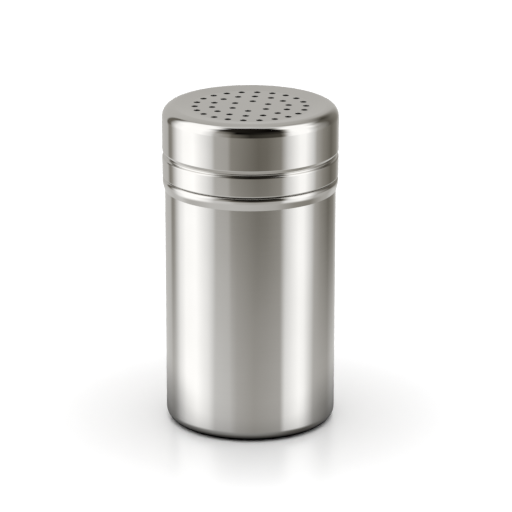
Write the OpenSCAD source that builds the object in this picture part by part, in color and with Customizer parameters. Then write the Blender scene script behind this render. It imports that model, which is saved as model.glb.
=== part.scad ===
// Stainless steel spice shaker: a drawn can, a neck collar crimped on its rim,
// and a screw lid with a perforated top, a hidden threaded ring and a seal.
// The shaker stands on the origin, its axis is +Z, and every size is in millimetres.
// The lid is modelled screwed down. Each sheet part is one profile of constant gauge,
// revolved: its outer line is written corner by corner, and the inner line follows it.

/* [Can] */
// Outside diameter of the can's straight wall
can_d = 68; // [60:0.5:80]
// Height of the can's rim, where the collar sits
can_h = 100.8; // [60:0.2:140]
// Sheet thickness of the can
can_sheet = 0.5; // [0.4:0.05:0.8]
// Outside radius of the corner between base and wall
base_corner_r = 4.3; // [2:0.1:7]
// Inside diameter of the ring that the can stands on
foot_d = 50.4; // [36:0.2:50.4]
// Height of the panel that is raised inside that ring
base_recess = 1.2; // [0.8:0.1:2]

/* [Neck collar] */
// Sheet thickness of the collar
collar_sheet = 0.5; // [0.4:0.05:0.6]
// Distance from the can's wall in to the neck's outside
neck_inset = 1.8; // [1.6:0.1:3]
// Height of the neck above the collar's shoulder
neck_h = 5.7; // [5:0.1:10]
// Distance from the shoulder down to the collar's lower edge
bead_h = 5.1; // [4.4:0.1:7]
// Outside radius between the shoulder and the bead's face
bead_edge_r = 1.4; // [1:0.1:1.6]
// Thickness left at the collar's swaged lower edge
bead_lip = 0.23; // [0.15:0.01:0.35]

/* [Lid] */
// How far the lid and the collar's bead stand out from the can's wall
lid_step = 1; // [0.9:0.05:2]
// Height of the plain face between the groove and the top
face_h = 17.75; // [12:0.05:30]
// Sheet thickness of the lid
lid_sheet = 0.5; // [0.4:0.05:0.6]
// Outside radius of the lid's top edge
top_edge_r = 4.6; // [2:0.1:6]
// Height of the rolled groove
groove_h = 2.6; // [2.4:0.1:5]
// Depth of the rolled groove
groove_depth = 1.05; // [0.6:0.05:1.2]

/* [Perforated top] */
// How far the perforated plate lies below the rim around it
dish = 0.7; // [0.3:0.1:1]
// Diameter of each hole
hole_d = 2.6; // [1:0.1:3]
// Number of holes in the outer ring
outer_holes = 22; // [12:1:26]
// Diameter of the outer ring of holes
outer_ring_d = 44; // [38:0.2:50]
// Number of holes in the middle ring
middle_holes = 14; // [8:1:18]
// Diameter of the middle ring of holes
middle_ring_d = 30.4; // [24:0.2:34]
// Number of holes in the inner ring
inner_holes = 6; // [3:1:8]
// Diameter of the inner ring of holes
inner_ring_d = 15.2; // [10:0.2:20]

/* [Thread ring and seal] */
// Radial space between the neck and the ring, where the thread lies
thread_space = 0.8; // [0.6:0.05:1]
// Thickness of the flange on top of the ring
flange_t = 1.6; // [1:0.1:2.5]
// Distance that the flange and the seal reach in past the neck's outside
flange_in = 1; // [0.8:0.1:1.5]
// Thickness of the seal
seal_t = 0.5; // [0.4:0.1:1.2]

/* [Fits] */
// Gap between the lid's hem and the collar's shoulder
lid_gap = 0.2; // [0.15:0.05:0.4]
// Radial fit of the collar round the can's wall
collar_fit = 0.02; // [0.01:0.01:0.05]
// Radial fit of the thread ring in the lid
ring_fit = 0.05; // [0.02:0.01:0.1]
// Gap between the seal and the neck's rim
seal_gap = 0.05; // [0.02:0.01:0.1]

/* [Hidden] */

$fn = 72;
arc_steps = 5;           // straight facets in one rounded corner of a profile
hole_sides = 24;         // facets of one hole
cut = 1;                 // how far a cutting tool runs past the sheet

steel = "#b9b6ae";
polished_steel = "#cfccc4";
plastic = "#e6e4dc";
silicone = "#c9c9c6";

// Can
can_r = can_d / 2;
foot_slope = base_recess;                 // the panel's rim slopes at 45 degrees
foot_bend_r = 1;                          // bends between the panel and the foot ring
foot_r = foot_d / 2;

// Collar
neck_r = can_r - neck_inset;
neck_bend_r = collar_sheet + 0.1;         // between the neck and the shoulder
shoulder_z = can_h + collar_sheet;
neck_top_z = shoulder_z + neck_h;
bead_low_z = shoulder_z - bead_h;
bead_waist_z = shoulder_z - bead_h * 0.53;
bead_waist_bend_r = 8;
pocket_r = can_r + collar_fit;            // the can's wall sits in here
bead_low_r = pocket_r + bead_lip;

// Lid
lid_r = can_r + lid_step;
bead_r = lid_r + 0.05;                    // before its edge is rounded back to the lid's size
bead_waist_r = bead_r - (bead_r - bead_low_r) * 0.31;
hem_z = shoulder_z + lid_gap;
inner_bend_r = 0.3;                       // tightest bend on the inside of the lid's sheet
hem_bend_r = lid_sheet + inner_bend_r;
groove_bend_r = 0.55;
band_bend_r = lid_sheet + inner_bend_r;
groove_margin = 0.5;                      // from the ring's top to the groove's lower edge

// Thread ring and seal
thread_bore_r = neck_r + thread_space;
ring_r = lid_r - lid_sheet - ring_fit;
ring_z = hem_z + lid_sheet;
seal_z = neck_top_z + seal_gap;
flange_z = seal_z + seal_t;
ring_top_z = flange_z + flange_t;
flange_r = neck_r - flange_in;
ring_edge = inner_bend_r + 0.2;           // cut off the ring's outer edges
seal_side_gap = 0.1;                      // keeps the seal off the ring's bore
hem_r = thread_bore_r + inner_bend_r;     // the hem ends just outside the thread

// Lid, upwards from the ring that it holds
groove_low_z = ring_top_z + groove_margin;
groove_mid_z = groove_low_z + groove_h * 0.4;
groove_high_z = groove_low_z + groove_h;
lid_top_z = groove_high_z + face_h;

// Perforated plate, flat as far as its holes reach
plate_margin = 1;                         // from the outer holes to the plate's edge
rim_flat = 0.4;                           // level strip between the dish and the top edge
dish_bend_r = 2;
plate_z = lid_top_z - dish;
plate_r = outer_ring_d / 2 + hole_d / 2 + plate_margin;
rim_r = lid_r - top_edge_r - rim_flat;

function unit(v) = v / norm(v);
function left_of(v) = [-v[1], v[0]];
function turned(v, angle) =
    [v[0] * cos(angle) - v[1] * sin(angle), v[0] * sin(angle) + v[1] * cos(angle)];
function turn_between(u, v) = atan2(cross(u, v), u * v);

// Points of the arc that rounds corner b, on the way from a to c
function corner_arc(a, b, c, radius) =
    let (
        way_in = unit(b - a),
        turn = turn_between(way_in, unit(c - b)),
        start = b - way_in * radius * tan(abs(turn) / 2),
        to_centre = left_of(way_in) * sign(turn),
        centre = start + to_centre * radius
    )
    [for (i = [0:arc_steps]) centre - turned(to_centre, turn * i / arc_steps) * radius];

// An open line through corners [r, z, bend radius], each corner rounded by its bend
function bent_line(corners) =
    let (
        p = [for (c = corners) [c[0], c[1]]],
        last = len(corners) - 1
    )
    concat(
        [p[0]],
        [for (i = [1:last - 1]) each corner_arc(p[i - 1], p[i], p[i + 1], corners[i][2])],
        [p[last]]
    );

// The same line moved sideways: a positive distance is to the left of its direction
function beside(line, distance) =
    let (last = len(line) - 1)
    [for (i = [0:last])
        let (
            before = unit(line[max(i, 1)] - line[max(i, 1) - 1]),
            after = unit(line[min(i, last - 1) + 1] - line[min(i, last - 1)]),
            half_turn = turn_between(before, after) / 2
        )
        line[i] + left_of(turned(before, half_turn)) * distance / cos(half_turn)];

function reversed(line) = [for (i = [len(line) - 1:-1:0]) line[i]];

// Closed section of a sheet whose outer side is the given line
function sheet_section(line, thickness, side) =
    concat(line, reversed(beside(line, thickness * side)));

module spun_sheet(corners, thickness, side) {
    rotate_extrude() polygon(sheet_section(bent_line(corners), thickness, side));
}

module spun_ring(inner_r, outer_r, low_z, high_z) {
    rotate_extrude()
        polygon([[inner_r, low_z], [outer_r, low_z], [outer_r, high_z], [inner_r, high_z]]);
}

module hole_ring(count, diameter, first_angle) {
    for (i = [0:count - 1])
        rotate([0, 0, first_angle + i * 360 / count])
            translate([diameter / 2, 0, plate_z - lid_sheet - cut])
                cylinder(d = hole_d, h = lid_sheet + 2 * cut, $fn = hole_sides);
}

// Drawn cup: a panel raised inside the foot ring, a round corner and a straight wall
module body_can() {
    color(steel)
        spun_sheet([
            [0, base_recess, 0],
            [foot_r - foot_slope, base_recess, foot_bend_r],
            [foot_r, 0, foot_bend_r],
            [can_r, 0, base_corner_r],
            [can_r, can_h, 0]
        ], can_sheet, 1);
}

// Neck, shoulder and bead in one piece; the bead is swaged down over the can's wall
module neck_collar() {
    color(polished_steel)
        difference() {
            spun_sheet([
                [neck_r, neck_top_z, 0],
                [neck_r, shoulder_z, neck_bend_r],
                [bead_r, shoulder_z, bead_edge_r],
                [bead_waist_r, bead_waist_z, bead_waist_bend_r],
                [bead_low_r, bead_low_z, 0]
            ], collar_sheet, -1);
            translate([0, 0, bead_low_z - cut])
                cylinder(r = pocket_r, h = can_h - bead_low_z + cut);
        }
}

// Screw lid: dished and perforated top, rolled groove, band and a hem turned in under the ring
module lid_cap() {
    color(polished_steel)
        difference() {
            spun_sheet([
                [0, plate_z, 0],
                [plate_r, plate_z, dish_bend_r],
                [rim_r, lid_top_z, dish_bend_r],
                [lid_r, lid_top_z, top_edge_r],
                [lid_r, groove_high_z, band_bend_r],
                [lid_r - groove_depth, groove_mid_z, groove_bend_r],
                [lid_r, groove_low_z, band_bend_r],
                [lid_r, hem_z, hem_bend_r],
                [hem_r, hem_z, 0]
            ], lid_sheet, -1);
            hole_ring(outer_holes, outer_ring_d, 1);
            hole_ring(middle_holes, middle_ring_d, 6);
            hole_ring(inner_holes, inner_ring_d, 23);
        }
}

// Ring that the hem and the groove hold in the lid; its flange presses on the seal.
// Its outer edges are cut off at 45 degrees to clear the bends in the lid's sheet.
module thread_ring() {
    color(plastic)
        rotate_extrude()
            polygon([
                [thread_bore_r, ring_z],
                [ring_r - ring_edge, ring_z],
                [ring_r, ring_z + ring_edge],
                [ring_r, ring_top_z - ring_edge],
                [ring_r - ring_edge, ring_top_z],
                [flange_r, ring_top_z],
                [flange_r, flange_z],
                [thread_bore_r, flange_z]
            ]);
}

// Flat washer between the ring's flange and the neck's rim
module seal_ring() {
    color(silicone)
        spun_ring(flange_r + seal_side_gap, thread_bore_r - seal_side_gap, seal_z, flange_z);
}

body_can();
neck_collar();
lid_cap();
thread_ring();
seal_ring();
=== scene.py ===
"""A stainless steel spice shaker: satin can, polished neck collar and perforated screw lid.

Every length is in metres, in the frame of the CAD model. The main sizes come from the
boxes of the CAD nodes, so the dressed pieces lie where the solids do.
"""
import math

import bmesh
import bpy
from mathutils import Euler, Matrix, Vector
from mathutils.geometry import delaunay_2d_cdt


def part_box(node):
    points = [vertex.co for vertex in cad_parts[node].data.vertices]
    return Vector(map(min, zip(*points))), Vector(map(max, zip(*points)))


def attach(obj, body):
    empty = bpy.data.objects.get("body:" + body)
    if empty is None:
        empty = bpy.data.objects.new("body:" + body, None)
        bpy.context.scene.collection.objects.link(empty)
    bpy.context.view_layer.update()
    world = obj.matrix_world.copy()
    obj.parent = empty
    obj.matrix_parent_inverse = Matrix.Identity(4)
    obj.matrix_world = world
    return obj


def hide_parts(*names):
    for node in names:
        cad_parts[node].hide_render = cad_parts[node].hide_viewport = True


MM = 0.001

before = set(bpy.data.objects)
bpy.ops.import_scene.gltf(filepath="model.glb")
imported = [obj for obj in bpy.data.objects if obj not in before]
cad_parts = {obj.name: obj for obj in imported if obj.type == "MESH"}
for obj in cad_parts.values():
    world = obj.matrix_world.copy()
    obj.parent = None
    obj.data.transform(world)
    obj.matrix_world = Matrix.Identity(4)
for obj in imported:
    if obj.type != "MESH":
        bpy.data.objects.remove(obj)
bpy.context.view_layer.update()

# ---------------------------------------------------------------- sizes

_, can_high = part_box("body_can")
collar_low, collar_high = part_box("neck_collar")
lid_low, lid_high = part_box("lid_cap")
ring_low, ring_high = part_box("thread_ring")
seal_low, seal_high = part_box("seal_ring")

# Can
CAN_RADIUS = can_high.y
CAN_RIM_Z = can_high.z
CAN_SHEET = 0.5 * MM
BASE_CORNER = 4.3 * MM           # bend radius between the foot and the wall
BASE_RECESS = 1.2 * MM           # height of the panel inside the foot ring
FOOT_RADIUS = 25.2 * MM          # inside of the ring that the can stands on
FOOT_BEND = 1.0 * MM

# Lid
LID_RADIUS = lid_high.y
LID_TOP_Z = lid_high.z
LID_SHEET = 0.5 * MM
HEM_Z = lid_low.z
HEM_BEND = 0.55 * MM
HEM_WIDTH = 1.7 * MM
HEM_RADIUS = LID_RADIUS - HEM_WIDTH
TOP_EDGE = 4.6 * MM              # bend radius of the top edge
RIM_FLAT = 0.4 * MM              # level strip between the dish and the top edge
RIM_RADIUS = LID_RADIUS - TOP_EDGE - RIM_FLAT
DISH = 0.7 * MM                  # how far the perforated plate lies below the rim
DISH_BEND = 2.0 * MM
PLATE_Z = LID_TOP_Z - DISH
UNDERSIDE_Z = PLATE_Z - LID_SHEET
GROOVE_HEIGHT = 2.6 * MM
GROOVE_DEPTH = 1.05 * MM
GROOVE_VALLEY = 0.21             # level of the valley as a share of the groove's height
GROOVE_BEND = 0.45 * MM
GROOVE_MARGIN = 0.5 * MM         # from the thread ring up to the groove
GROOVE_LOW_Z = ring_high.z + GROOVE_MARGIN
GROOVE_HIGH_Z = GROOVE_LOW_Z + GROOVE_HEIGHT
VALLEY_Z = GROOVE_LOW_Z + GROOVE_HEIGHT * GROOVE_VALLEY
BAND_BEND = 0.7 * MM             # bends between the groove and the walls above and below
BAND_LEAN = 0.09 * MM            # how much narrower the band is at the hem

# Each ring of holes in the lid: their number, its radius, its first hole's angle in degrees
HOLE_RINGS = ((22, 22.0 * MM, 1.0), (14, 15.2 * MM, 6.0), (6, 7.6 * MM, 23.0))
HOLE_RADIUS = 1.3 * MM
HOLE_LIP = 0.03 * MM             # radius of the rounded upper edge
LIP_STEPS = 4
LIP_GUARD = 0.06 * MM            # keeps the shading of the plate flat up to the lip
LOWER_EDGE_WIDTH = 0.02 * MM
LOWER_EDGE_HEIGHT = 0.03 * MM
FLAT_ABOVE = 0.30 * MM           # flat ring round each hole on the upper side
FLAT_BELOW = 0.20 * MM
OUTER_HOLES_REACH = HOLE_RINGS[0][1] + HOLE_RADIUS
PLATE_RADIUS = OUTER_HOLES_REACH + 1.0 * MM
ROSE_RADIUS = OUTER_HOLES_REACH + 0.6 * MM      # the perforated disc joins the rest here
HOLE_SIDES = 40

# Neck collar
COLLAR_SHEET = 0.5 * MM
COLLAR_FIT = 0.02 * MM           # gap between the can's wall and the collar
POCKET_RADIUS = CAN_RADIUS + COLLAR_FIT
POCKET_TOP_Z = CAN_RIM_Z - 0.1 * MM             # the collar is widened to its pocket below
SHOULDER_Z = CAN_RIM_Z + COLLAR_SHEET
NECK_RADIUS = CAN_RADIUS - 1.8 * MM
NECK_TOP_Z = collar_high.z
NECK_BEND = 0.6 * MM
BEAD_RADIUS = LID_RADIUS + 0.05 * MM            # before its edge is rounded back to the lid's
BEAD_EDGE = 1.4 * MM
BEAD_LOW_Z = collar_low.z
BEAD_LOW_RADIUS = CAN_RADIUS + 0.25 * MM
WAIST_DROP = 0.53                # of the way down from the shoulder to the lower edge
WAIST_INSET = 0.31               # of the way in from the bead to the lower edge
WAIST_Z = SHOULDER_Z - (SHOULDER_Z - BEAD_LOW_Z) * WAIST_DROP
WAIST_RADIUS = BEAD_RADIUS - (BEAD_RADIUS - BEAD_LOW_RADIUS) * WAIST_INSET
WAIST_BEND = 8.0 * MM

# Thread ring and seal
RING_BORE = NECK_RADIUS + 0.8 * MM
RING_EDGE = 0.5 * MM             # cut off the ring's outer edges at 45 degrees
FLANGE_Z = seal_high.z
FLANGE_RADIUS = NECK_RADIUS - 1.0 * MM
SEAL_SIDE_GAP = 0.1 * MM
SEAL_EDGE = 0.12 * MM

# Thread: a rolled ridge on the neck, and a ridge of the ring half a turn away from it
THREAD_PITCH = 3.0 * MM
THREAD_HEIGHT = 0.6 * MM
THREAD_START_Z = SHOULDER_Z + 2.4 * MM
NECK_RIDGE_WIDTH = 1.7 * MM
NECK_RIDGE_FADE = 0.7 * MM       # over this height the ridge rises from nothing at its ends
NECK_RIDGE_Z = (SHOULDER_Z + 1.0 * MM, NECK_TOP_Z - 0.3 * MM)
RING_RIDGE_WIDTH = 1.1 * MM
RING_RIDGE_FADE = 0.6 * MM
RING_RIDGE_Z = (ring_low.z + 0.2 * MM, FLANGE_Z - 0.5 * MM)

# Fineness of the meshes
SEGMENTS = 288
ARC_STEPS = 14
SEAL_ARC_STEPS = 5
THREAD_STEP = 0.15 * MM          # longest stretch of a profile that carries a thread
SHARP_DEGREES = 50
LONG_STRAIGHT = 6                # a straight is long from this many times its end steps on
WELD_DISTANCE = 1e-7
FILL_ACCURACY = 1e-9
TINY = 1e-6                      # a shorter length counts as none

# ---------------------------------------------------------------- profiles


def turned(v, angle):
    c, s = math.cos(angle), math.sin(angle)
    return Vector((v.x * c - v.y * s, v.x * s + v.y * c))


def turn_between(u, v):
    return math.atan2(u.x * v.y - u.y * v.x, u.dot(v))


def left_of(v):
    return Vector((-v.y, v.x))


def corner_arc(a, b, c, radius, steps):
    """Points of the arc that rounds corner b on the way from a to c."""
    way_in = (b - a).normalized()
    turn = turn_between(way_in, (c - b).normalized())
    start = b - way_in * radius * math.tan(abs(turn) / 2)
    to_centre = left_of(way_in) * math.copysign(1, turn)
    centre = start + to_centre * radius
    return [centre - turned(to_centre, turn * i / steps) * radius for i in range(steps + 1)]


def bent_line(corners, steps=ARC_STEPS):
    """An open line through corners (r, z, bend radius), each corner rounded by its bend."""
    p = [Vector(c[:2]) for c in corners]
    line = [p[0]]
    for i in range(1, len(p) - 1):
        line += corner_arc(p[i - 1], p[i], p[i + 1], corners[i][2], steps)
    return line + [p[-1]]


def held(line, reach=0.12 * MM, longest=6.0 * MM):
    """Adds points near the ends of each long straight, so that its shading stays flat, and
    between them where the straight is longer than the longest stretch."""
    out = [line[0]]
    for a, b in zip(line, line[1:]):
        length = (b - a).length
        if length > LONG_STRAIGHT * reach:
            parts = math.ceil(length / longest)
            steps = [reach] + [length * i / parts for i in range(1, parts)] + [length - reach]
            out += [a + (b - a) * s / length for s in steps]
        out.append(b)
    return out


def beside(line, distance):
    """The same line moved sideways, to the left of its direction if distance is positive."""
    out = []
    last = len(line) - 1
    for i, p in enumerate(line):
        before = (line[max(i, 1)] - line[max(i, 1) - 1]).normalized()
        after = (line[min(i, last - 1) + 1] - line[min(i, last - 1)]).normalized()
        half = turn_between(before, after) / 2
        out.append(p + left_of(turned(before, half)) * distance / math.cos(half))
    return out


# ---------------------------------------------------------------- meshes


def new_object(name, bm, material):
    """A scene object whose mesh comes from the bmesh and has one material."""
    mesh = bpy.data.meshes.new(name)
    bm.to_mesh(mesh)
    bm.free()
    mesh.materials.append(material)
    thing = bpy.data.objects.new(name, mesh)
    bpy.context.scene.collection.objects.link(thing)
    return thing


def finish_mesh(name, bm, material, body, replaced):
    """Turns a bmesh into a piece that rides on a body and stands for a CAD node."""
    bmesh.ops.remove_doubles(bm, verts=bm.verts, dist=WELD_DISTANCE)
    bmesh.ops.recalc_face_normals(bm, faces=bm.faces)
    piece = new_object(name, bm, material)
    piece.data.polygons.foreach_set("use_smooth", [True] * len(piece.data.polygons))
    piece.data.set_sharp_from_angle(angle=math.radians(SHARP_DEGREES))
    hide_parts(replaced)
    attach(piece, body)


def ring_of(bm, point, lift):
    """One circle of vertices for a profile point; lift(angle, r, z) may move the radius."""
    verts = []
    for k in range(SEGMENTS):
        angle = 2 * math.pi * k / SEGMENTS
        r = point.x + (lift(angle, point.x, point.y) if lift else 0)
        verts.append(bm.verts.new((r * math.cos(angle), r * math.sin(angle), point.y)))
    return verts


def bridge(bm, a, b):
    """Faces between two loops of as many vertices."""
    for k in range(len(a)):
        n = (k + 1) % len(a)
        bm.faces.new((a[k], a[n], b[n], b[k]))


def fan(bm, tip, loop):
    """Faces from one vertex to a loop."""
    for k in range(len(loop)):
        bm.faces.new((tip, loop[k], loop[(k + 1) % len(loop)]))


def spin(bm, line, closed, lift=None):
    """Revolves a profile. A point on the axis becomes one vertex with a fan round it."""
    rings = []
    for p in line:
        on_axis = p.x < TINY
        rings.append([bm.verts.new((0, 0, p.y))] if on_axis else ring_of(bm, p, lift))
    pairs = list(zip(rings, rings[1:]))
    if closed:
        pairs.append((rings[-1], rings[0]))
    for a, b in pairs:
        if len(a) == 1:
            fan(bm, a[0], b)
        elif len(b) == 1:
            fan(bm, b[0], a)
        else:
            bridge(bm, a, b)
    return rings


def hump(x, width):
    """A smooth hump of height 1 at x = 0 that ends at x = width / 2."""
    t = abs(x) / (width / 2)
    return 0.0 if t >= 1 else 0.5 + 0.5 * math.cos(math.pi * t)


def thread_lift(start_z, ends_z, height, width, fade):
    """A helical ridge on a round wall: its height at each angle and level."""
    low_z, high_z = ends_z

    def lift(angle, r, z):
        nearest = (z - start_z) / THREAD_PITCH - angle / (2 * math.pi)
        offset = (nearest - round(nearest)) * THREAD_PITCH
        ends = min(1, max(0, (z - low_z) / fade)) * min(1, max(0, (high_z - z) / fade))
        return height * ends * hump(offset, width)
    return lift


# ---------------------------------------------------------------- shader nodes

WHITE = (1.0, 1.0, 1.0)
NOISE_LOW, NOISE_HIGH = 0.3, 0.7         # nearly all of a noise lies between these
NOISE_ROUGHNESS = 0.55


def new_material(name):
    mat = bpy.data.materials.new(name)
    mat.use_nodes = True
    nt = mat.node_tree
    return mat, nt, nt.nodes["Principled BSDF"]


def add(nt, kind, **values):
    node = nt.nodes.new(kind)
    for key, value in values.items():
        setattr(node, key, value)
    return node


def plug(nt, socket, value):
    """Sets a socket to a number or a colour, or links it to another node's output."""
    if isinstance(value, (int, float)):
        socket.default_value = value
    elif isinstance(value, tuple):
        socket.default_value = (*value, 1)
    else:
        nt.links.new(value, socket)


def maths(nt, operation, *values):
    node = add(nt, "ShaderNodeMath", operation=operation)
    for socket, value in zip(node.inputs, values):
        plug(nt, socket, value)
    return node.outputs["Value"]


def mixed(nt, factor, a, b, blend="MIX"):
    node = add(nt, "ShaderNodeMix", data_type="RGBA", blend_type=blend)
    for name, value in (("Factor", factor), ("A", a), ("B", b)):
        plug(nt, node.inputs[name], value)
    return node.outputs["Result"]


def ranged(nt, value, start, end, low=0.0, high=1.0, kind="LINEAR"):
    """Takes a value from start..end to low..high, and holds it there at both ends."""
    node = add(nt, "ShaderNodeMapRange", interpolation_type=kind)
    nt.links.new(value, node.inputs["Value"])
    for name, number in (("From Min", start), ("From Max", end), ("To Min", low), ("To Max", high)):
        node.inputs[name].default_value = number
    return node.outputs["Result"]


def smooth_step(nt, value, start, end):
    return ranged(nt, value, start, end, kind="SMOOTHSTEP")


def stretched_noise(nt, scale, detail):
    """Noise over the object's own coordinates (per metre), stretched by scale."""
    coords = add(nt, "ShaderNodeTexCoord")
    mapping = add(nt, "ShaderNodeMapping")
    mapping.inputs["Scale"].default_value = scale
    noise = add(nt, "ShaderNodeTexNoise")
    noise.inputs["Scale"].default_value = 1.0
    noise.inputs["Detail"].default_value = detail
    noise.inputs["Roughness"].default_value = NOISE_ROUGHNESS
    nt.links.new(coords.outputs["Object"], mapping.inputs["Vector"])
    nt.links.new(mapping.outputs["Vector"], noise.inputs["Vector"])
    return noise.outputs["Fac"]


def vary_colour(nt, bsdf, noise, dark, light):
    factor = ranged(nt, noise, NOISE_LOW, NOISE_HIGH)
    nt.links.new(mixed(nt, factor, dark, light), bsdf.inputs["Base Color"])


def vary_roughness(nt, bsdf, noise, low, high):
    nt.links.new(ranged(nt, noise, NOISE_LOW, NOISE_HIGH, low, high), bsdf.inputs["Roughness"])


def bump(nt, bsdf, noise, strength, distance):
    node = add(nt, "ShaderNodeBump")
    node.inputs["Strength"].default_value = strength
    node.inputs["Distance"].default_value = distance
    nt.links.new(noise, node.inputs["Height"])
    nt.links.new(node.outputs["Normal"], bsdf.inputs["Normal"])


# ---------------------------------------------------------------- materials


def satin_steel():
    """Steel brushed round the axis: fine level lines that spread reflections up and down."""
    mat, nt, bsdf = new_material("satin_steel")
    lines = stretched_noise(nt, scale=(30, 30, 4200), detail=4)
    patches = stretched_noise(nt, scale=(45, 45, 30), detail=2)
    vary_colour(nt, bsdf, patches, dark=(0.64, 0.632, 0.615), light=(0.672, 0.664, 0.648))
    vary_roughness(nt, bsdf, lines, low=0.075, high=0.10)
    bump(nt, bsdf, lines, strength=0.03, distance=0.02 * MM)
    bsdf.inputs["Metallic"].default_value = 1.0
    bsdf.inputs["Anisotropic"].default_value = 0.85
    bsdf.inputs["Anisotropic Rotation"].default_value = 0.25
    tangent = add(nt, "ShaderNodeTangent", direction_type="RADIAL", axis="Z")
    nt.links.new(tangent.outputs["Tangent"], bsdf.inputs["Tangent"])
    return mat


def polished_steel():
    """Buffed steel: near-mirror, with faint smears and the slight waves of pressed sheet."""
    mat, nt, bsdf = new_material("polished_steel")
    smears = stretched_noise(nt, scale=(55, 55, 90), detail=4)
    waves = stretched_noise(nt, scale=(60, 60, 45), detail=1)
    vary_colour(nt, bsdf, smears, dark=(0.645, 0.636, 0.618), light=(0.675, 0.665, 0.646))
    vary_roughness(nt, bsdf, smears, low=0.02, high=0.05)
    bump(nt, bsdf, waves, strength=0.25, distance=0.03 * MM)
    bsdf.inputs["Metallic"].default_value = 1.0
    return mat


def ring_plastic():
    """Natural white plastic with a fine moulded grain."""
    mat, nt, bsdf = new_material("ring_plastic")
    grain = stretched_noise(nt, scale=(900, 900, 900), detail=3)
    vary_colour(nt, bsdf, grain, dark=(0.74, 0.73, 0.69), light=(0.80, 0.79, 0.75))
    vary_roughness(nt, bsdf, grain, low=0.42, high=0.55)
    bump(nt, bsdf, grain, strength=0.2, distance=0.02 * MM)
    bsdf.inputs["Subsurface Weight"].default_value = 0.1
    return mat


def seal_silicone():
    """Matt grey silicone with a little dust."""
    mat, nt, bsdf = new_material("seal_silicone")
    dust = stretched_noise(nt, scale=(600, 600, 600), detail=4)
    vary_colour(nt, bsdf, dust, dark=(0.56, 0.57, 0.56), light=(0.64, 0.65, 0.64))
    vary_roughness(nt, bsdf, dust, low=0.5, high=0.7)
    return mat


SATIN = satin_steel()
POLISHED = polished_steel()

# ---------------------------------------------------------------- pieces


def body_can():
    """Can: a panel raised inside the foot ring, a round corner and a straight wall."""
    outer = held(bent_line([
        (0, BASE_RECESS, 0),
        (FOOT_RADIUS - BASE_RECESS, BASE_RECESS, FOOT_BEND),
        (FOOT_RADIUS, 0, FOOT_BEND),
        (CAN_RADIUS, 0, BASE_CORNER),
        (CAN_RADIUS, CAN_RIM_Z, 0),
    ]))
    bm = bmesh.new()
    spin(bm, outer + beside(outer, CAN_SHEET)[::-1], closed=False)
    finish_mesh("body_can_sheet", bm, SATIN, "can", "body_can")


def neck_collar():
    """Collar: threaded neck, shoulder and bead in one sheet, thinned over the can's wall."""
    outer = held(bent_line([
        (NECK_RADIUS, NECK_TOP_Z, 0),
        (NECK_RADIUS, SHOULDER_Z, NECK_BEND),
        (BEAD_RADIUS, SHOULDER_Z, BEAD_EDGE),
        (WAIST_RADIUS, WAIST_Z, WAIST_BEND),
        (BEAD_LOW_RADIUS, BEAD_LOW_Z, 0),
    ]), longest=THREAD_STEP)
    inner = [Vector((max(p.x, POCKET_RADIUS) if p.y < POCKET_TOP_Z else p.x, p.y))
             for p in beside(outer, -COLLAR_SHEET)]
    ridge = thread_lift(THREAD_START_Z, NECK_RIDGE_Z, THREAD_HEIGHT, NECK_RIDGE_WIDTH,
                        NECK_RIDGE_FADE)
    bm = bmesh.new()
    spin(bm, outer + inner[::-1], closed=True, lift=ridge)
    finish_mesh("neck_collar_sheet", bm, POLISHED, "can", "neck_collar")


def circle(bm, x, y, z, radius):
    """A loop of vertices for a hole."""
    return [bm.verts.new((x + radius * math.cos(2 * math.pi * k / HOLE_SIDES),
                          y + radius * math.sin(2 * math.pi * k / HOLE_SIDES), z))
            for k in range(HOLE_SIDES)]


def hole_centres():
    centres = []
    for count, radius, first in HOLE_RINGS:
        for k in range(count):
            angle = math.radians(first + 360 * k / count)
            centres.append((radius * math.cos(angle), radius * math.sin(angle)))
    return centres


def hole_profile():
    """Radius and level of a hole's loops: rounded upper lip, punched wall and lower edge."""
    lip = []
    for k in range(1, LIP_STEPS + 1):
        a = math.pi / 2 * k / LIP_STEPS
        lip.append((HOLE_RADIUS + HOLE_LIP * (1 - math.sin(a)),
                    PLATE_Z - HOLE_LIP * (1 - math.cos(a))))
    return [
        (HOLE_RADIUS + HOLE_LIP + LIP_GUARD, PLATE_Z),
        (HOLE_RADIUS + HOLE_LIP, PLATE_Z),
        *lip,
        (HOLE_RADIUS, UNDERSIDE_Z + LOWER_EDGE_HEIGHT),
        (HOLE_RADIUS + LOWER_EDGE_WIDTH, UNDERSIDE_Z),
    ]


def perforated_disc(bm, z, rim, reach):
    """Flat sheet inside the rim loop, with a round gap of the given reach at each hole."""
    centres = hole_centres()
    loops = [circle(bm, x, y, z, reach) for x, y in centres]
    verts = [v for loop in [rim] + loops for v in loop]
    edges, start = [], 0
    for loop in [rim] + loops:
        n = len(loop)
        edges += [(start + k, start + (k + 1) % n) for k in range(n)]
        start += n
    coords = [v.co.to_2d() for v in verts]
    inside_rim = 1
    out, _, faces, origin, _, _ = delaunay_2d_cdt(coords, edges, [], inside_rim, FILL_ACCURACY)
    # the triangles whose middle lies in a gap are left out
    gap = reach * 0.99
    for face in faces:
        middle = sum((out[i] for i in face), Vector((0, 0))) / len(face)
        if all((middle - Vector(c)).length > gap for c in centres):
            bm.faces.new([verts[origin[i][0]] for i in face])
    return loops


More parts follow.
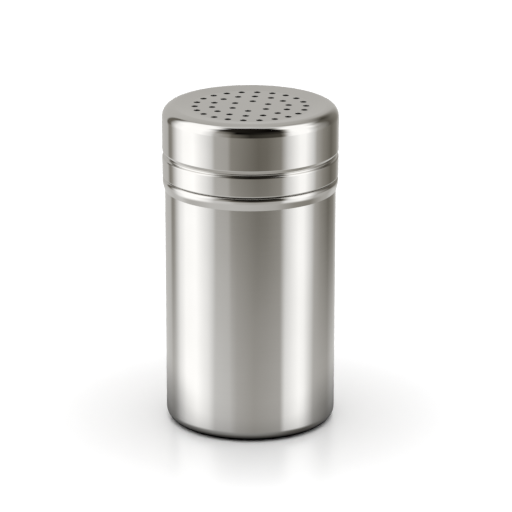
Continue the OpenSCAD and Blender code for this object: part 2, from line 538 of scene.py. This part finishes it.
def lid_cap():
    """Lid: one sheet from the dished plate over the top edge and the groove to the hem."""
    outer = held(bent_line([
        (ROSE_RADIUS, PLATE_Z, 0),
        (PLATE_RADIUS, PLATE_Z, DISH_BEND),
        (RIM_RADIUS, LID_TOP_Z, DISH_BEND),
        (LID_RADIUS, LID_TOP_Z, TOP_EDGE),
        (LID_RADIUS, GROOVE_HIGH_Z, BAND_BEND),
        (LID_RADIUS - GROOVE_DEPTH, VALLEY_Z, GROOVE_BEND),
        (LID_RADIUS, GROOVE_LOW_Z, BAND_BEND),
        (LID_RADIUS - BAND_LEAN, HEM_Z, HEM_BEND),
        (HEM_RADIUS, HEM_Z, 0),
    ]))
    bm = bmesh.new()
    rings = spin(bm, outer + beside(outer, -LID_SHEET)[::-1], closed=False)
    upper = perforated_disc(bm, PLATE_Z, rings[0], HOLE_RADIUS + FLAT_ABOVE)
    lower = perforated_disc(bm, UNDERSIDE_Z, rings[-1], HOLE_RADIUS + FLAT_BELOW)
    for (x, y), last, low in zip(hole_centres(), upper, lower):
        for radius, z in hole_profile():
            loop = circle(bm, x, y, z, radius)
            bridge(bm, last, loop)
            last = loop
        bridge(bm, last, low)
    finish_mesh("lid_cap_sheet", bm, POLISHED, "lid", "lid_cap")


def thread_ring():
    """Ring with its flange on top and the thread's counterpart in its bore."""
    outer_r, low, high = ring_high.x, ring_low.z, ring_high.z
    section = [
        (RING_BORE, low), (outer_r - RING_EDGE, low), (outer_r, low + RING_EDGE),
        (outer_r, high - RING_EDGE), (outer_r - RING_EDGE, high), (FLANGE_RADIUS, high),
        (FLANGE_RADIUS, FLANGE_Z), (RING_BORE, FLANGE_Z), (RING_BORE, low),
    ]
    line = held([Vector(p) for p in section], reach=0.05 * MM, longest=THREAD_STEP)[:-1]
    ridge = thread_lift(THREAD_START_Z + THREAD_PITCH / 2, RING_RIDGE_Z, -THREAD_HEIGHT,
                        RING_RIDGE_WIDTH, RING_RIDGE_FADE)

    def lift(angle, r, z):
        return ridge(angle, r, z) if abs(r - RING_BORE) < TINY else 0

    bm = bmesh.new()
    spin(bm, line, closed=True, lift=lift)
    finish_mesh("thread_ring_moulding", bm, ring_plastic(), "lid",
                "thread_ring")


def seal_ring():
    """Seal: a flat washer with slightly rounded edges."""
    inner_r, outer_r = FLANGE_RADIUS + SEAL_SIDE_GAP, seal_high.x
    low, high = seal_low.z, seal_high.z
    seam = (inner_r, (low + high) / 2, 0)
    corners = [seam, (inner_r, low, SEAL_EDGE), (outer_r, low, SEAL_EDGE),
               (outer_r, high, SEAL_EDGE), (inner_r, high, SEAL_EDGE), seam]
    bm = bmesh.new()
    spin(bm, bent_line(corners, SEAL_ARC_STEPS)[:-1], closed=True)
    finish_mesh("seal_ring_washer", bm, seal_silicone(), "seal",
                "seal_ring")


body_can()
neck_collar()
lid_cap()
thread_ring()
seal_ring()

# ---------------------------------------------------------------- studio

# Brightness round the shaker as the steel sees it, by azimuth in degrees: 0 is behind the
# camera and +90 is to the right of the picture. Each list goes from the backdrop over the
# left card to the dark room behind the camera, then over the right card and back. There is
# one list for each height, from the table close by to the ceiling.
TABLE_CLOSE = [(-180, 0.60), (-90, 0.50), (0, 0.48), (90, 0.42), (180, 0.60)]
TABLE_FAR = [
    (-180, 0.80), (-140, 0.78), (-105, 0.57), (-62, 0.70), (-24, 0.70),
    (38, 0.58), (68, 0.35), (95, 0.30), (122, 0.50), (150, 0.75), (180, 0.80),
]
TABLE_EDGE = [
    (-180, 0.68), (-140, 0.67), (-130, 0.63), (-122, 0.75),
    (-112, 1.15), (-98, 1.50), (-78, 1.52), (-60, 1.20), (-50, 0.82),
    (-28, 0.77), (-18, 0.60), (5, 0.50), (41, 0.58),
    (48, 1.12), (70, 1.46), (78, 1.33), (96, 0.62), (130, 0.52), (145, 0.70), (180, 0.68),
]
ROOM_LOW = [
    (-180, 0.60), (-138, 0.60), (-131, 0.26), (-125, 0.34),
    (-110, 1.15), (-98, 1.45), (-80, 1.52), (-60, 1.07), (-52, 0.85), (-47, 0.55),
    (-30, 0.50), (-25, 0.32), (10, 0.17), (22, 0.19), (40, 0.30),
    (50, 0.87), (60, 1.21), (68, 1.42), (76, 1.42), (90, 0.90),
    (97, 0.50), (110, 0.31), (130, 0.16), (148, 0.27), (165, 0.58), (180, 0.60),
]
ROOM_MID = [
    (-180, 0.57), (-137, 0.60), (-133, 0.14), (-125, 0.16),
    (-110, 1.25), (-98, 1.50), (-66, 1.50), (-52, 1.02), (-47, 0.62),
    (-29, 0.32), (-24, 0.16), (0, 0.03), (40, 0.07),
    (44, 0.28), (50, 1.04), (56, 1.40), (66, 1.52), (80, 1.48),
    (90, 0.86), (97, 0.53), (124, 0.12), (150, 0.27), (166, 0.56), (180, 0.57),
]
ROOM_HIGH = [
    (-180, 0.58), (-140, 0.60), (-135, 0.16), (-127, 0.14),
    (-119, 1.05), (-112, 1.50), (-66, 1.52), (-59, 1.36), (-46, 0.34),
    (-31, 0.14), (-20, 0.0), (45, 0.03),
    (50, 0.30), (56, 1.20), (61, 1.50), (94, 1.47),
    (103, 0.72), (117, 0.16), (138, 0.06), (150, 0.14), (166, 0.50), (180, 0.58),
]
ROOM_TOP = [
    (-180, 0.60), (-142, 0.55), (-134, 0.50), (-128, 0.75),
    (-123, 1.45), (-72, 1.50), (-61, 0.80), (-50, 0.02),
    (50, 0.0), (56, 0.25), (66, 1.45), (110, 1.48),
    (122, 0.70), (134, 0.40), (152, 0.52), (180, 0.60),
]
CEILING = [
    (-180, 0.76), (-132, 0.68), (-112, 1.05), (-98, 0.92), (-76, 0.12),
    (-60, 0.01), (60, 0.01), (72, 0.18), (94, 0.95), (108, 1.00),
    (130, 0.60), (180, 0.76),
]
# The elevations between which one list gives way to the next
ROOM_LEVELS = (
    (TABLE_FAR, -62, -50), (TABLE_EDGE, -35, -24), (ROOM_LOW, -20.5, -16.5),
    (ROOM_MID, -13, -5), (ROOM_HIGH, 12, 34), (ROOM_TOP, 33, 50), (CEILING, 61, 75),
)
# Dim parts of the room are warmer, by the square of what they lack of full brightness
DARK_TINT = (1.0, 0.90, 0.70)

# The light on matt surfaces: a little from everywhere, and most of it from above, where
# it grows with this power of the direction's upward share
BASE_LIGHT = 0.2
TOP_LIGHT = 3.05
TOP_LIGHT_POWER = 4

# Painted contact shade, seen only in reflections: how much of the table's brightness
# the steel sees, by distance from the shaker's axis
PAINTED_SHADE_STOPS = [
    (0.0325, 0.0), (0.0353, 0.36), (0.038, 0.48), (0.046, 0.76), (0.060, 0.93), (0.080, 1.0),
]
CONTACT_RADIUS = 0.12
CONTACT_SIDES = 96
CONTACT_DEPTH = 0.01 * MM                # below the table's surface
# Painted shadow, seen only in reflections: what the table's brightness lacks beside and
# behind the shaker, and where it fades: over this depth in front of the axis, and over
# this distance from it
SIDE_SHADOW = 0.42
SIDE_SHADOW_DEPTH = (-0.045, 0.0)
SIDE_SHADOW_REACH = (0.040, 0.100)

# The table, whose gloss fades out over this distance from the shaker's axis
TABLE_REACH = 6.0
TABLE_GLOSS = 0.5
TABLE_IOR = 1.8
GLOSS_REACH = (0.045, 0.090)

# Lens in millimetres, place and clipping in metres, angles in degrees
CAMERA_LENS = 204.2
CAMERA_PLACE = (0, -1.1105, 0.4205)
CAMERA_TILT, CAMERA_PAN, CAMERA_ROLL = 17.65, 0.097, -0.06
CAMERA_CLIP = (0.05, 50)


def warmed(value, tint):
    """Grey of this brightness, tinted the more the dimmer it is, with its mean kept."""
    parts = [1 - (1 - t) * max(0.0, 1 - value) ** 2 for t in tint]
    return [value * part * 3 / sum(parts) for part in parts]


def ramp(nt, factor, stops, low, high, tint=DARK_TINT):
    """Colour ramp over (position, brightness) stops between low and high."""
    node = add(nt, "ShaderNodeValToRGB")
    elements = node.color_ramp.elements
    while len(elements) > 1:
        elements.remove(elements[0])
    for k, (position, value) in enumerate(stops):
        at = (position - low) / (high - low)
        element = elements[0] if k == 0 else elements.new(at)
        element.position = at
        element.color = (*warmed(value, tint), 1)
    nt.links.new(factor, node.inputs["Fac"])
    return node.outputs["Color"]


def studio_world():
    """White cards to the left and right, a grey backdrop, and a dark room behind the camera.

    Only reflections see this room. The camera sees plain white, and matt surfaces have a
    soft light of their own, so the world isn't sampled as one light."""
    world = bpy.data.worlds.new("studio")
    bpy.context.scene.world = world
    world.use_nodes = True
    nt = world.node_tree
    background = nt.nodes["Background"]
    xyz = add(nt, "ShaderNodeSeparateXYZ")
    nt.links.new(add(nt, "ShaderNodeTexCoord").outputs["Generated"], xyz.inputs["Vector"])
    x, y, z = xyz.outputs
    azimuth = maths(nt, "ARCTAN2", x, maths(nt, "MULTIPLY", y, -1.0))
    turn = maths(nt, "ADD", maths(nt, "DIVIDE", azimuth, 2 * math.pi), 0.5)
    elevation = maths(nt, "MULTIPLY", maths(nt, "ARCSINE", z), 180 / math.pi)

    room = ramp(nt, turn, TABLE_CLOSE, -180, 180)
    for stops, start, end in ROOM_LEVELS:
        level = ramp(nt, turn, stops, -180, 180)
        room = mixed(nt, smooth_step(nt, elevation, start, end), room, level)

    upward = maths(nt, "MAXIMUM", z, 0.0)
    above = maths(nt, "MULTIPLY", maths(nt, "POWER", upward, TOP_LIGHT_POWER), TOP_LIGHT)
    soft = maths(nt, "ADD", above, BASE_LIGHT)
    rays = add(nt, "ShaderNodeLightPath")
    colour = mixed(nt, rays.outputs["Is Diffuse Ray"], room, soft)
    colour = mixed(nt, rays.outputs["Is Camera Ray"], colour, WHITE)
    nt.links.new(colour, background.inputs["Color"])
    world.cycles.sampling_method = "NONE"


def distance_from_axis(nt):
    """The distance of a point of the table from the shaker's axis, and its place in depth."""
    xyz = add(nt, "ShaderNodeSeparateXYZ")
    nt.links.new(add(nt, "ShaderNodeTexCoord").outputs["Object"], xyz.inputs["Vector"])
    x, y, _ = xyz.outputs
    square = maths(nt, "ADD", maths(nt, "MULTIPLY", x, x), maths(nt, "MULTIPLY", y, y))
    return maths(nt, "SQRT", square), y


def painted_contact_shade():
    """Painted contact shadow that the steel reflects: dark under the shaker, dim beside and behind.

    A clear disc tinted with this painted shade; only reflections pass through it to the room's
    table."""
    bm = bmesh.new()
    bmesh.ops.create_circle(bm, cap_ends=True, segments=CONTACT_SIDES, radius=CONTACT_RADIUS)
    mat, nt, bsdf = new_material("painted_contact_shade")
    nt.nodes.remove(bsdf)
    reach, depth = distance_from_axis(nt)
    low, high = PAINTED_SHADE_STOPS[0][0], PAINTED_SHADE_STOPS[-1][0]
    place = maths(nt, "DIVIDE", maths(nt, "SUBTRACT", reach, low), high - low)
    # painted contact shadow: black under the foot, lighter further out
    shade_under = ramp(nt, place, PAINTED_SHADE_STOPS, low, high, WHITE)
    # painted shadow beside and behind the shaker
    shadow = maths(nt, "MULTIPLY", smooth_step(nt, depth, *SIDE_SHADOW_DEPTH), SIDE_SHADOW)
    fading = maths(nt, "SUBTRACT", 1.0, smooth_step(nt, reach, *SIDE_SHADOW_REACH))
    dim = maths(nt, "SUBTRACT", 1.0, maths(nt, "MULTIPLY", shadow, fading))
    shade_filter = add(nt, "ShaderNodeBsdfTransparent")
    nt.links.new(mixed(nt, 1.0, shade_under, dim, "MULTIPLY"), shade_filter.inputs["Color"])
    nt.links.new(shade_filter.outputs[0], nt.nodes["Material Output"].inputs["Surface"])
    disc = new_object("painted_contact_shade", bm, mat)
    disc.location.z = -CONTACT_DEPTH
    # the painted shade is seen by reflections only
    disc.visible_camera = disc.visible_diffuse = disc.visible_shadow = False


def floor():
    """A plain white table, faintly glossy by the shaker. The steel sees the room's instead."""
    bm = bmesh.new()
    bmesh.ops.create_grid(bm, x_segments=1, y_segments=1, size=TABLE_REACH)
    mat, nt, bsdf = new_material("white_table")
    mottle = stretched_noise(nt, scale=(3, 3, 3), detail=2)
    vary_colour(nt, bsdf, mottle, dark=(0.93, 0.93, 0.935), light=(0.95, 0.95, 0.95))
    vary_roughness(nt, bsdf, mottle, low=0.22, high=0.26)
    bsdf.inputs["IOR"].default_value = TABLE_IOR
    reach, _ = distance_from_axis(nt)
    fade = maths(nt, "SUBTRACT", 1.0, smooth_step(nt, reach, *GLOSS_REACH))
    nt.links.new(maths(nt, "MULTIPLY", fade, TABLE_GLOSS), bsdf.inputs["Specular IOR Level"])
    table = new_object("table_top", bm, mat)
    table.visible_glossy = False


def camera():
    """The photograph's long lens, a little above the shaker."""
    data = bpy.data.cameras.new("camera")
    data.lens = CAMERA_LENS
    data.clip_start, data.clip_end = CAMERA_CLIP
    cam = bpy.data.objects.new("camera", data)
    cam.location = CAMERA_PLACE
    tilt, pan, roll = (math.radians(a) for a in (CAMERA_TILT, CAMERA_PAN, CAMERA_ROLL))
    cam.rotation_euler = Euler((math.pi / 2 - tilt, roll, -pan), "XYZ")
    bpy.context.scene.collection.objects.link(cam)
    bpy.context.scene.camera = cam


studio_world()
painted_contact_shade()
floor()
camera()
bpy.context.scene.view_settings.view_transform = "Standard"
bpy.context.scene.view_settings.look = "None"
